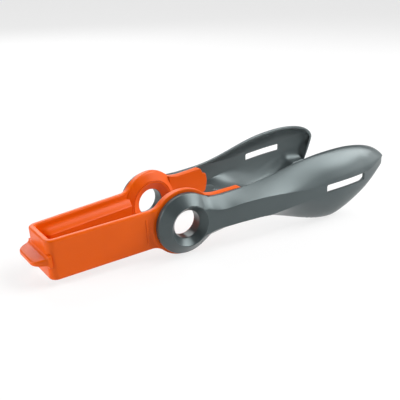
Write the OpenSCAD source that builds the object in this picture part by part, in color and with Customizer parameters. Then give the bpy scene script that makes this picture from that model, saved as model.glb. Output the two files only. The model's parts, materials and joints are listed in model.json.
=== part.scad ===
// Folding tongs: a springy U handle and two scoop heads that turn on hollow ring hinges.
// Each side is drawn in its own frame: X along the arm from the hinge axis to the tip,
// Y outboard from the plane of the head's rim, Z up. The near side mirrors the far side, apart
// from the tips: the near head's tip is swept like a spoon's, the far one's is a straight blade.

/* [Stance] */
// Distance between the two rim planes, measured at the hinge axis
rim_gap = 44.4; // [40:0.1:52]
// Splay of each arm from the centre plane
splay = 3.9; // [3:0.1:6]

/* [Handle] */
// Hinge axis to the outer face of the closed end
handle_len = 85.4; // [80:0.2:110]
// Height of the handle wall
handle_h = 25.2; // [20:0.2:30]
// Thickness of the handle wall
handle_t = 3.7; // [3:0.1:4.6]
// Outer radius of the closed end's corners
corner_r = 5; // [4.8:0.1:7]
// Inset of an arm's outer face from the rim plane
arm_inset = 1.6; // [1.2:0.1:2.4]
// Distance of the flex line from the closed end's outer face
flex_at = 15; // [12:0.5:22]
// Radius of the rounded joint at the flex line
flex_r = 2.6; // [2.5:0.1:3.2]
// Clearance of the rounded joint
flex_gap = 0.05; // [0.02:0.01:0.1]

/* [Pull tongue] */
// Length of the tongue behind the closed end
tongue_len = 8.2; // [6:0.2:18]
// Width of the tongue at its root
tongue_root_w = 29; // [24:0.5:30]
// Width of the tongue at its end
tongue_end_w = 23; // [16:0.5:24]
// Thickness of the tongue at its root
tongue_root_t = 5; // [3:0.1:8]
// Thickness of the tongue at its end
tongue_end_t = 2.6; // [1.6:0.1:3]
// Radius of the tongue's corners
tongue_corner_r = 4; // [2:0.5:7]

/* [Stiffening bar] */
// How far the bar stands in from the arm
bar_depth = 4.6; // [2:0.1:5]
// Height of the bar at its root
bar_root_h = 17; // [12:0.5:19]
// Height of the bar at its inner face
bar_face_h = 10; // [6:0.5:11]
// Gap between the flex line and the bar
bar_start = 5; // [4:0.5:12]
// Distance of the bar's square end from the hinge axis
bar_end = 18.5; // [15.5:0.5:35]

/* [Ring eye] */
// Radius of the handle's rings, on which the part stands
ring_r = 21.5; // [20.5:0.1:24]
// Thickness of the handle's ring at its outer edge
eye_edge_t = 2.2; // [1.8:0.1:3.2]
// Thickness of the handle's ring at its inner lip
eye_lip_t = 6.4; // [6:0.1:7.4]
// Thickness of the handle's ring at the foot of its pocket, round the hub
eye_web_t = 1.6; // [1.2:0.1:2.2]
// Width of the lip's bevel
eye_bevel = 0.4; // [0.3:0.1:1.2]
// Radius of the blend between an arm's edge and its ring
eye_blend_r = 10; // [6:0.5:16]
// Distance of the thumb rib from the hinge axis
rib_at = 26; // [25.5:0.5:36]
// Width of the thumb rib
rib_w = 1.8; // [1:0.1:3]
// Height of the thumb rib
rib_h = 17; // [10:0.5:19]
// How far the thumb rib stands out
rib_rise = 0.8; // [0.4:0.1:1.4]

/* [Tab] */
// Reach of the tab's arc end from the hinge axis
tab_reach = 49.2; // [40:0.1:56]
// Height of the tab's upper edge above the hinge axis
tab_rise = 12.3; // [9:0.1:13.6]
// Drop of the tab's lower edge below the hinge axis
tab_drop = 6.5; // [5:0.5:10]
// Thickness of the tab
tab_t = 4.6; // [3:0.1:5]
// Distance of the tab's outer face inside the rim plane
tab_inset = 0.6; // [0.5:0.1:1.2]
// Length of the notch in the tab's upper corner
tab_notch = 2; // [1:0.1:3]
// Depth of the notch in the tab's upper corner
tab_notch_h = 4.6; // [2:0.1:6]

/* [Hinge hub] */
// Radius of the through bore
bore_r = 9; // [7:0.1:10.6]
// Outer radius of the hub
hub_r = 12.3; // [12:0.1:13]
// Radial running clearance of the hub in its eye
hub_gap = 0.05; // [0.02:0.01:0.1]
// Axial clearance between the pieces of the hinge
face_gap = 0.3; // [0.2:0.05:0.4]
// Radius of the crest round the countersink
crest_r = 13.9; // [13:0.1:15]
// Height of the crest above the rim plane
crest_h = 6.8; // [5.6:0.1:8.4]
// Depth of the countersink below the crest
sink_depth = 3.2; // [2.4:0.1:4]
// Radius of the head's ring
head_ring_r = 19.7; // [18:0.1:20.5]
// Thickness of the head's ring at its outer edge
ring_edge_t = 2.8; // [2:0.1:4]
// How far the back of the head's ring lies inside the rim plane
ring_back = 0.2; // [0.1:0.05:0.3]

/* [Collar] */
// Thickness of the retaining collar round the hub
collar_t = 1.3; // [1:0.1:1.8]
// Width of the retaining collar
collar_w = 2.5; // [2:0.1:3]
// Width of the collar's outer edge
collar_edge = 0.8; // [0.5:0.1:1.2]
// How far the collar's edge lies below the lip of its pocket
collar_sink = 0.2; // [0.1:0.1:0.6]
// Radial clearance round the retaining collar
collar_gap = 0.3; // [0.2:0.05:0.5]

/* [Head] */
// Hinge axis to the tip of the head
head_reach = 169.7; // [155:0.1:190]
// Thickness of the head's shell
shell_t = 2.2; // [1.8:0.1:2.6]
// Depth of the scoop, from the rim plane to the outer face of the web
scoop_depth = 15.3; // [13:0.1:18]
// Depth of the head at its tip
tip_depth = 5.2; // [4:0.1:6.4]
// Height of the tip above the hinge axis
tip_rise = 4.5; // [0:0.5:7]
// Height of the neck's upper edge above the hinge axis
neck_rise = 12.3; // [11:0.1:15]
// Drop of the neck's lower edge below the hinge axis
neck_drop = 10; // [8:0.1:11]
// Distance of the narrowest neck from the hinge axis
neck_at = 47.2; // [40:0.1:56]
// Height of the upper edge's flare where it leaves the ring
upper_flare_h = 2.8; // [1:0.1:4]
// Length of the upper edge's flare
upper_flare_len = 14.7; // [8:0.1:22]
// Height of the lower edge's flare where it leaves the ring
lower_flare_h = 3; // [1:0.1:4]
// Length of the lower edge's flare
lower_flare_len = 22.7; // [8:0.1:26]
// Height of the brow, the highest point of the upper edge
brow_rise = 21.2; // [18:0.1:26]
// Distance from the hinge axis at which the upper edge starts to swell
swell_at = 31.2; // [28:0.1:50]
// Distance of the brow from the hinge axis
brow_at = 122.2; // [112:0.1:130]
// Drop of the belly, the lowest point of the lower edge
belly_drop = 28.6; // [24:0.1:32]
// Distance of the belly from the hinge axis
belly_at = 117.2; // [108:0.1:124]
// Drop of the web's middle line below the hinge axis
web_drop = 0.6; // [0:0.1:2]
// Half height of the flat web along the neck
web_half = 7.2; // [5:0.1:8]
// Drop of the far head's blade below the hinge axis
blade_drop = 15.2; // [10:0.1:18]
// How far the far head's blade leans back from the tip
blade_lean = 9.2; // [6:0.1:14]

/* [Drain slot] */
// Distance of the slot's near end from the hinge axis
slot_at = 104.2; // [96:0.1:110]
// Length of the slot
slot_len = 37; // [20:0.5:40]
// Height of the slot
slot_h = 5.4; // [4.2:0.1:6]
// Radius of the slot's corners
slot_corner_r = 1; // [0.6:0.1:1.8]

/* [Serration] */
// Number of teeth on the belly
teeth = 6; // [3:1:9]
// Pitch of the teeth
tooth_pitch = 4; // [3:0.1:5]
// Depth of the teeth
tooth_depth = 1.2; // [0.6:0.1:1.6]
// Distance of the row's middle from the belly, towards the hinge
tooth_back = 10; // [8:0.5:16]

/* [Stop lug] */
// Length of the lug that backs the tab's end
lug_len = 9; // [5:0.5:9.5]
// Height of the lug at the tab
lug_h = 5.6; // [4:0.1:6.4]
// Height of the lug at its low end
lug_end_h = 2.4; // [1.6:0.1:3.4]
// How far the lug reaches inside the rim plane
lug_in = 0.4; // [0.1:0.1:1.6]
// Gap between the tab's arc end and the lug
lug_gap = 1; // [0.5:0.1:2]

/* [Hidden] */
$fn = 64;
orange = "#e8540f";
grey = "#5e676b";
// Overlap that fuses neighbouring shapes of one piece
bond = 1;

// Places along the arm, in the side's own frame
arm_mid = -arm_inset - handle_t / 2;
corner_y = -arm_inset - corner_r;
corner_x = (corner_r - handle_len + corner_y * sin(splay)) / cos(splay);
flex_x = (flex_at - handle_len + arm_mid * sin(splay)) / cos(splay);

// Hinge stack, from the rim plane inwards
eye_face = -ring_back - face_gap;
eye_hole_r = hub_r + hub_gap;
collar_r = hub_r + collar_w;
pocket_r = collar_r + collar_gap;
eye_lip = eye_face - eye_lip_t;
pocket_floor = eye_face - eye_web_t;
collar_top = pocket_floor - face_gap;
collar_end = eye_lip + collar_sink;
hub_end = collar_top - collar_t;

// The part stands on its rings and on the bellies of its heads
belly_far = norm([belly_at, belly_drop]);
stand_pitch = atan2(belly_drop, belly_at) - asin(ring_r / belly_far);
tip_x = head_reach * cos(splay) * cos(stand_pitch) - tip_rise * sin(stand_pitch);
tongue_x = -(handle_len + tongue_len) * cos(stand_pitch);
centre_x = (tip_x + tongue_x) / 2;

// Ease from 0 to 1 with level ends, then the same with flatter ends
function ease(t) = let (c = max(0, min(1, t))) c * c * (3 - 2 * c);
function soft_ease(t) = let (c = max(0, min(1, t))) c * c * c * (10 - 15 * c + 6 * c * c);

// Flare of the neck's edges, a hollow curve out to the ring
function flare(u, h, len) = h * pow(max(0, min(1, 1 - (u - crest_r) / len)), 2);
function upper_flare(u) = flare(u, upper_flare_h, upper_flare_len);
function lower_flare(u) = flare(u, lower_flare_h, lower_flare_len);

// Upper edge: level neck, swell to the brow, then a quarter ellipse to the tip
function upper_edge(u) = u < brow_at
    ? neck_rise + upper_flare(u)
        + (brow_rise - neck_rise) * soft_ease((u - swell_at) / (brow_at - swell_at))
    : tip_rise + (brow_rise - tip_rise)
        * sqrt(max(0, 1 - pow((u - brow_at) / (head_reach - brow_at), 2)));

// Share of the way from the belly to the tip
function past_belly(u) = max(0, min(1, (u - belly_at) / (head_reach - belly_at)));

// Blade: level along its foot, then leaning up to the tip
blade_power = 0.75;
function blade_edge(u) = tip_rise
    - (tip_rise + blade_drop) * pow(max(0, min(1, (head_reach - u) / blade_lean)), blade_power);

// Lower edge: arched neck, swell to the belly, then a sweep up to the tip, or to the blade
sweep_power = 1.5;
function lower_edge(u, blade = false) = u < belly_at
    ? -neck_drop - lower_flare(u)
        - (belly_drop - neck_drop) * ease((u - neck_at) / (belly_at - neck_at))
    : let (swept = tip_rise - (belly_drop + tip_rise) * (1 - pow(past_belly(u), sweep_power)))
        blade ? min(swept, blade_edge(u)) : swept;

// Outer face of the web: out from the crest to the scoop's depth, then in to the tip
web_power = 2.4;
function web_out(u) = u < belly_at
    ? crest_h + (scoop_depth - crest_h) * sin(90 * max(0, u - crest_r) / (belly_at - crest_r))
    : tip_depth + (scoop_depth - tip_depth) * (1 - pow(past_belly(u), web_power));

// Half height of the flat web: level along the neck, then down to the slot's height
function web_flat(u) =
    web_half + (slot_h / 2 - web_half) * ease((u - neck_at) / (slot_at - neck_at));

// Roundness of the shoulders: 2 is a straight chamfer, 1 is an ellipse
neck_shoulder = 1.95;
bowl_shoulder = 1.35;
function shoulder(u) = neck_shoulder
    + (bowl_shoulder - neck_shoulder) * ease((u - neck_at) / (belly_at - neck_at));

// Keel, the middle line of the web: level as far as the slot, then up to the tip
function keel(u) = let (slot_end = slot_at + slot_len)
    (tip_rise + web_drop) * ease((u - slot_end) / (head_reach - slot_end)) - web_drop;

// One point of the section at u, inset by the wall t. The side v runs from -1, the lower rim,
// to 1, the upper rim, and lies on the flat web up to web_share each way. The inner wall leaves
// out the flare. Near the tip the flat web and the rim's wall keep to their greatest shares of
// the height that is left.
web_share = 0.25;
most_flat = 0.6;
most_wall = 0.3;
function section_point(u, v, t, blade) = let (
    side = v < 0 ? -1 : 1,
    edge = v < 0 ? lower_edge(u, blade) : upper_edge(u),
    flared = v < 0 ? lower_flare(u) : upper_flare(u),
    height = side * (edge - keel(u)) - (t > 0 ? flared : 0),
    flat = min(web_flat(u), height * most_flat),
    wall = min(t, height * most_wall),
    turn = 90 * max(0, abs(v) - web_share) / (1 - web_share),
    z = flat * min(1, abs(v) / web_share) + (height - flat - wall) * pow(sin(turn), shoulder(u)),
    y = (web_out(u) - min(t, web_out(u) / 2)) * pow(cos(turn), shoulder(u))
) [
    t > 0 ? inner_station(u) : u,
    abs(v) == 1 ? 0 : y,
    keel(u) + side * z
];

// Stations of the shell, close together at the tip, and where they fall on its inner wall
stations = 30;
last_turn = 88.5;
shell_start = crest_r + bond / 2;
channel_start = ring_r + 1.5 * bond;
function station(i) = shell_start + (head_reach - shell_start) * sin(last_turn * i / stations);
function inner_station(u) = channel_start
    + (head_reach - shell_t - channel_start) * (u - shell_start) / (head_reach - shell_start);
shoulder_steps = 6;
section_sides = concat(
    [for (k = [0 : shoulder_steps]) -1 + (1 - web_share) * k / shoulder_steps],
    [0],
    [for (k = [0 : shoulder_steps]) web_share + (1 - web_share) * k / shoulder_steps]
);

// The head's shell: outer and inner walls joined along the flat rim
module head_shell(blade) {
    m = len(section_sides);
    walls = [for (t = [0, shell_t], i = [0 : stations], v = section_sides)
        section_point(station(i), v, t, blade)];
    inner = (stations + 1) * m;
    last = stations * m;
    steps = [for (i = [0 : stations - 1]) i * m];
    outside = [for (a = steps, j = [0 : m - 2], f = [[0, m, m + 1], [0, m + 1, 1]])
        [for (p = f) a + j + p]];
    inside = [for (a = steps, j = [0 : m - 2], f = [[0, m + 1, m], [0, 1, m + 1]])
        [for (p = f) inner + a + j + p]];
    upper_rim = [for (a = steps, f = [[0, m, inner], [m, inner + m, inner]])
        [for (p = f) a + m - 1 + p]];
    lower_rim = [for (a = steps, f = [[0, inner, m], [inner, inner + m, m]])
        [for (p = f) a + p]];
    start_caps = [
        [for (j = [0 : m - 1]) j],
        [for (j = [m - 1 : -1 : 0]) inner + j],
        [m - 1, inner + m - 1, inner, 0]
    ];
    end_caps = [
        [for (j = [m - 1 : -1 : 0]) last + j],
        [for (j = [0 : m - 1]) inner + last + j],
        [inner + last + m - 1, last + m - 1, last, inner + last]
    ];
    polyhedron(walls, concat(outside, inside, upper_rim, lower_rim, start_caps, end_caps));
}

// Turn a profile of [radius, outboard] points about the hinge axis
module turned(profile) {
    rotate([-90, 0, 0]) rotate_extrude($fn = 96) polygon(profile);
}

// The head's ring with its crest, countersink and hollow hub
module head_ring() {
    turned([
        [bore_r, hub_end], [bore_r, crest_h - sink_depth], [crest_r, crest_h],
        [head_ring_r, ring_edge_t], [head_ring_r, -ring_back], [hub_r, -ring_back], [hub_r, hub_end]
    ]);
}

// A slot with rounded corners, cut straight through the web
module slot_cut() {
    r = slot_corner_r;
    translate([slot_at, 2 * scoop_depth, -web_drop]) rotate([90, 0, 0]) linear_extrude(2 * scoop_depth) {
        translate([0, r - slot_h / 2]) square([slot_len, slot_h - 2 * r]);
        translate([r, -slot_h / 2]) square([slot_len - 2 * r, slot_h]);
        for (x = [r, slot_len - r], z = [-1, 1]) translate([x, z * (slot_h / 2 - r)]) circle(r);
    }
}

// Saw teeth along the belly, cut square through the lower rim: a slope in, then a steep flank
tooth_slope = 0.35;
tooth_flank = 0.1;
module teeth_cut() {
    for (k = [0 : teeth - 1]) {
        u = belly_at - tooth_back + tooth_pitch * (k - teeth / 2);
        deep = u + tooth_pitch * tooth_slope;
        below = -belly_drop - tooth_depth;
        translate([0, scoop_depth / 3, 0]) rotate([90, 0, 0]) linear_extrude(scoop_depth) polygon([
            [u, below], [u, lower_edge(u)], [deep, lower_edge(deep) + tooth_depth],
            [deep + tooth_pitch * tooth_flank, below]
        ]);
    }
}

// A wedge in the corner of the channel, just past the tab's arc end
module stop_lug() {
    start = tab_reach + lug_gap;
    floor_z = lower_edge(start) + shell_t / 2;
    depth = lug_in + web_out(start) - shell_t / 2;
    translate([start, depth - lug_in, floor_z]) rotate([90, 0, 0]) linear_extrude(depth)
        polygon([[0, 0], [lug_len, 0], [lug_len, lug_end_h], [0, lug_h]]);
}

module head(blade) {
    color(grey) {
        difference() {
            head_shell(blade);
            slot_cut();
            teeth_cut();
        }
        head_ring();
        stop_lug();
    }
}

// The collar pressed on the hub's end, dished up to the lip of its pocket
module collar() {
    color(orange) turned([
        [hub_r, hub_end], [hub_r, collar_top], [collar_r, collar_top], [collar_r, collar_end],
        [collar_r - collar_edge, collar_end]
    ]);
}

// The eye at the arm's end: outer face, sloped inner face, bevelled pocket for the collar
module eye() {
    turned([
        [eye_hole_r, eye_face], [ring_r, eye_face], [ring_r, eye_face - eye_edge_t],
        [pocket_r + eye_bevel, eye_lip], [pocket_r, eye_lip + eye_bevel],
        [pocket_r, pocket_floor], [eye_hole_r, pocket_floor]
    ]);
}

// The hollow that carries the arm's outer face up to the face of its ring
module eye_ramp() {
    step = arm_inset + eye_face;
    intersection() {
        rotate([-90, 0, 0]) rotate_extrude($fn = 96) difference() {
            translate([ring_r - bond, -arm_inset - bond]) square([step + bond, step + bond]);
            translate([ring_r + step, eye_face]) circle(step);
        }
        translate([-2 * ring_r, -2 * arm_inset, -handle_h / 2])
            cube([2 * ring_r, 2 * arm_inset, handle_h]);
    }
}

// The round that leads an arm's upper edge into its ring
module eye_blend() {
    lift = handle_h / 2 + eye_blend_r;
    back = sqrt(pow(ring_r + eye_blend_r, 2) - pow(lift, 2));
    meet = [-back, lift] * ring_r / (ring_r + eye_blend_r);
    translate([0, -arm_inset, 0]) rotate([90, 0, 0]) linear_extrude(handle_t) difference() {
        polygon([
            [-back, handle_h / 2], meet, [meet.x, handle_h / 2 - bond], [-back, handle_h / 2 - bond]
        ]);
        translate([-back, lift]) circle(eye_blend_r);
    }
}

// The wall of one arm, from its flex line into its ring
module arm_wall() {
    difference() {
        translate([flex_x, -arm_inset - handle_t, -handle_h / 2])
            cube([-flex_x - ring_r + 4 * bond, handle_t, handle_h]);
        translate([flex_x, arm_mid, -handle_h]) cylinder(r = flex_r + flex_gap, h = 2 * handle_h);
    }
}

// The stiffening bar on the inner face of an arm
module arm_bar() {
    start = flex_x + flex_r + bar_start;
    translate([start, -arm_inset - handle_t, 0]) rotate([90, 0, 90])
        linear_extrude(-bar_end - start) polygon([
            [bond, -bar_root_h / 2], [0, -bar_root_h / 2], [-bar_depth, -bar_face_h / 2],
            [-bar_depth, bar_face_h / 2], [0, bar_root_h / 2], [bond, bar_root_h / 2]
        ]);
}

// The tab in front of the ring, with an arc end and a notch in its upper corner
module tab() {
    corner = tab_reach * cos(asin(tab_rise / tab_reach));
    depth = tab_inset + tab_t;
    difference() {
        intersection() {
            translate([ring_r - 4 * bond, -depth, -tab_drop])
                cube([tab_reach, tab_t, tab_drop + tab_rise]);
            rotate([90, 0, 0]) cylinder(r = tab_reach, h = 3 * depth, center = true, $fn = 128);
        }
        translate([corner - tab_notch, -2 * depth, tab_rise - tab_notch_h])
            cube([tab_reach, 2 * depth, tab_rise]);
    }
}

module thumb_rib() {
    translate([-rib_at, -arm_inset - bond, -rib_h / 2]) cube([rib_w, rib_rise + bond, rib_h]);
}

module arm() {
    color(orange) {
        arm_wall();
        eye();
        eye_ramp();
        eye_blend();
        mirror([0, 0, 1]) eye_blend();
        arm_bar();
        thumb_rib();
        tab();
    }
}

// Plan of the bow on the far side: rounded corner, then a stub to the flex line
module bow_side() {
    translate([corner_x, corner_y]) intersection() {
        difference() {
            circle(corner_r);
            circle(corner_r - handle_t);
        }
        polygon([for (a = [88, 135, 182 - splay]) 3 * corner_r * [cos(a), sin(a)], [0, 0]]);
    }
    intersection() {
        translate([corner_x, -arm_inset - handle_t]) square([flex_x + flex_r - corner_x, handle_t]);
        union() {
            translate([flex_x, arm_mid]) circle(flex_r);
            translate([corner_x, -handle_len]) square([flex_x - corner_x, handle_len]);
        }
    }
}

// The pull tongue: tapered in thickness and in plan, with rounded corners
module tongue() {
    reach = handle_len + tongue_len;
    root = handle_len - handle_t / 2;
    r = tongue_corner_r;
    corner = [r - reach, tongue_end_w / 2 - r];
    intersection() {
        translate([0, tongue_root_w, 0]) rotate([90, 0, 0]) linear_extrude(2 * tongue_root_w)
            polygon([
                [-root, -tongue_root_t / 2], [-root, tongue_root_t / 2],
                [-reach, tongue_end_t / 2], [-reach, -tongue_end_t / 2]
            ]);
        translate([0, 0, -tongue_root_t]) linear_extrude(2 * tongue_root_t) {
            polygon([
                [-root, -tongue_root_w / 2], [-root, tongue_root_w / 2], corner + [0, r],
                corner - [r, 0], [-reach, -corner.y], [corner.x, -corner.y - r]
            ]);
            for (s = [-1, 1]) translate([corner.x, s * corner.y]) circle(r);
        }
    }
}

module handle_bow() {
    corner_out = rim_gap / 2 + corner_x * sin(splay) + corner_y * cos(splay);
    color(orange) stand() {
        linear_extrude(handle_h, center = true) {
            translate([-handle_len, -corner_out]) square([handle_t, 2 * corner_out]);
            for (m = [0, 1])
                mirror([0, m]) translate([0, rim_gap / 2]) rotate(splay) bow_side();
        }
        tongue();
    }
}

// Set the part down on its rings and bellies, centred over the origin
module stand() {
    translate([-centre_x, 0, ring_r]) rotate([0, -stand_pitch, 0]) children();
}

module far_side() {
    stand() translate([0, rim_gap / 2, 0]) rotate([0, 0, splay]) children();
}

module near_side() {
    stand() mirror([0, 1, 0]) translate([0, rim_gap / 2, 0]) rotate([0, 0, splay]) children();
}

module near_arm() { near_side() arm(); }
module far_arm() { far_side() arm(); }
module near_head() { near_side() head(blade = false); }
module far_head() { far_side() head(blade = true); }
module near_collar() { near_side() collar(); }
module far_collar() { far_side() collar(); }

handle_bow();
near_arm();
far_arm();
near_head();
far_head();
near_collar();
far_collar();
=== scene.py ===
"""Folding kitchen tongs with a sprung orange handle and two grey scoop heads.

Every shape is worked out in millimetres in the frame of its own hinge: u runs along the arm
towards the tip, w runs outboard from the plane of the head's rim, and z runs up.
"""

import json
import logging
import math
from collections.abc import Sequence
from dataclasses import dataclass
from enum import Enum
from typing import ClassVar

import bmesh
import bpy
import numpy as np
from mathutils import Matrix, Vector
from numpy.typing import NDArray


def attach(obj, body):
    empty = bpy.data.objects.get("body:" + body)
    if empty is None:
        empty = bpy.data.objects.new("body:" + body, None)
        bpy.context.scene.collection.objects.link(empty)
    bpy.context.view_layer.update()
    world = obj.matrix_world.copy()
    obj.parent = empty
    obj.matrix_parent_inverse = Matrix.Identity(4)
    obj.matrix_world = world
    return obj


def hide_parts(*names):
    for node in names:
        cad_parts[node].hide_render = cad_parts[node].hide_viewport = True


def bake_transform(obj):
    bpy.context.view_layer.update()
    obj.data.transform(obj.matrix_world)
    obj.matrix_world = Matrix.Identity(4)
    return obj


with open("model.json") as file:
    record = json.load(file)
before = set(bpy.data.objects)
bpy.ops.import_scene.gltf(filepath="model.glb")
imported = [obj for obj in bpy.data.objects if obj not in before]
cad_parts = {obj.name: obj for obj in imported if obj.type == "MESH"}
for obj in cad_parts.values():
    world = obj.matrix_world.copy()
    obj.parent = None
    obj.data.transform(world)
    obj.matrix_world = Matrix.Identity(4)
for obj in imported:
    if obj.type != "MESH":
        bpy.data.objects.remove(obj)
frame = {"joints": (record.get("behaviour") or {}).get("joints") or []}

LOG = logging.getLogger("tongs")
MM = 0.001
WELD = 0.002 * MM
SHARP = math.radians(38.0)
SIDES = 128
SUPPORT = 0.12

Array = NDArray[np.float64]
Index = NDArray[np.int64]
Mask = NDArray[np.bool_]
Reals = float | Array
Pair = tuple[float, float]
Triple = tuple[float, float, float]


class Side(Enum):
    """The two sides of the tongs, by the name their bodies carry."""

    NEAR = "near"
    FAR = "far"

    @property
    def hand(self) -> int:
        """1 where the side's frame is right-handed, -1 where it is mirrored."""
        return 1 if self is Side.FAR else -1


class Tip(Enum):
    """How a head's lower edge comes up to its tip."""

    SPOON = "spoon"
    BLADE = "blade"


def kept(share: Reals) -> Array:
    """Keep a share between 0 and 1."""
    return np.clip(share, 0.0, 1.0)


def mix(start: Reals, end: Reals, share: Reals) -> Array:
    """Go a share of the way from the start to the end."""
    return start + (end - start) * share


def ease(at: Reals, start: Reals, over: float) -> Array:
    """Ease from 0 at the start to 1 a length over past it: three squares less two cubes."""
    c = kept((at - start) / over)
    return c * c * (3.0 - 2.0 * c)


def soft_ease(at: Reals, start: Reals, over: float) -> Array:
    """Ease as above, but with the bend level at the ends as well as the slope."""
    c = kept((at - start) / over)
    return c ** 3 * (10.0 - 15.0 * c + 6.0 * c * c)


def round_off(share: Reals) -> Array:
    """Fall of a quarter circle: 1 less the root of 1 less the square of the share."""
    return 1.0 - np.sqrt(1.0 - kept(share) ** 2)


def quarter_turn(steps: int) -> Array:
    """Angles from 0 to a right angle."""
    return np.linspace(0.0, np.pi / 2, steps)


def chain(*parts: Array, axis: int = 0) -> Array:
    """Put arrays end to end."""
    return np.concatenate(parts, axis=axis)


def stacked(*parts: Reals) -> Array:
    """Put the coordinates of points, spread to one shape, on a last axis."""
    return np.stack(np.broadcast_arrays(*parts), axis=-1)


def smooth_max(first: Array, second: Array, reach: Reals) -> Array:
    """Take the greater of two heights, with a hollow fillet where they are close.

    The fillet adds the square of (reach less the difference) over four times the reach.

    Args:
        first: One height.
        second: The other height.
        reach: Difference of the heights at which the fillet begins.

    Returns:
        The filleted greater height.
    """
    near = np.clip(reach - np.abs(first - second), 0.0, None)
    return np.maximum(first, second) + near * near / (4.0 * reach)


def rounded(corners: Sequence[Pair], radii: Sequence[float]) -> Array:
    """Round the corners of a closed outline.

    Each corner becomes a quadratic Bezier curve between the points that lie its radius away
    along its two edges, with the corner as the middle control point. A point just beyond each
    end of the curve keeps the shading of the straight edges flat.

    Args:
        corners: Corners of the outline.
        radii: Distance from each corner at which its curve begins.

    Returns:
        The rounded outline, with seven points for each corner.
    """
    def unit(edges: Array) -> Array:
        """Edges scaled to length 1."""
        return edges / np.linalg.norm(edges, axis=1, keepdims=True)

    points, size = np.array(corners), np.array(radii)[:, None]
    back = unit(np.roll(points, 1, axis=0) - points)
    ahead = unit(np.roll(points, -1, axis=0) - points)
    before, after = points + back * size, points + ahead * size
    t = np.linspace(0.0, 1.0, 5)[None, :, None]
    curve = (
        (1 - t) ** 2 * before[:, None] + 2 * t * (1 - t) * points[:, None]
        + t ** 2 * after[:, None]
    )
    beyond = SUPPORT * size
    ends = [(before + back * beyond)[:, None], curve, (after + ahead * beyond)[:, None]]
    return np.concatenate(ends, axis=1).reshape(-1, 2)


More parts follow.
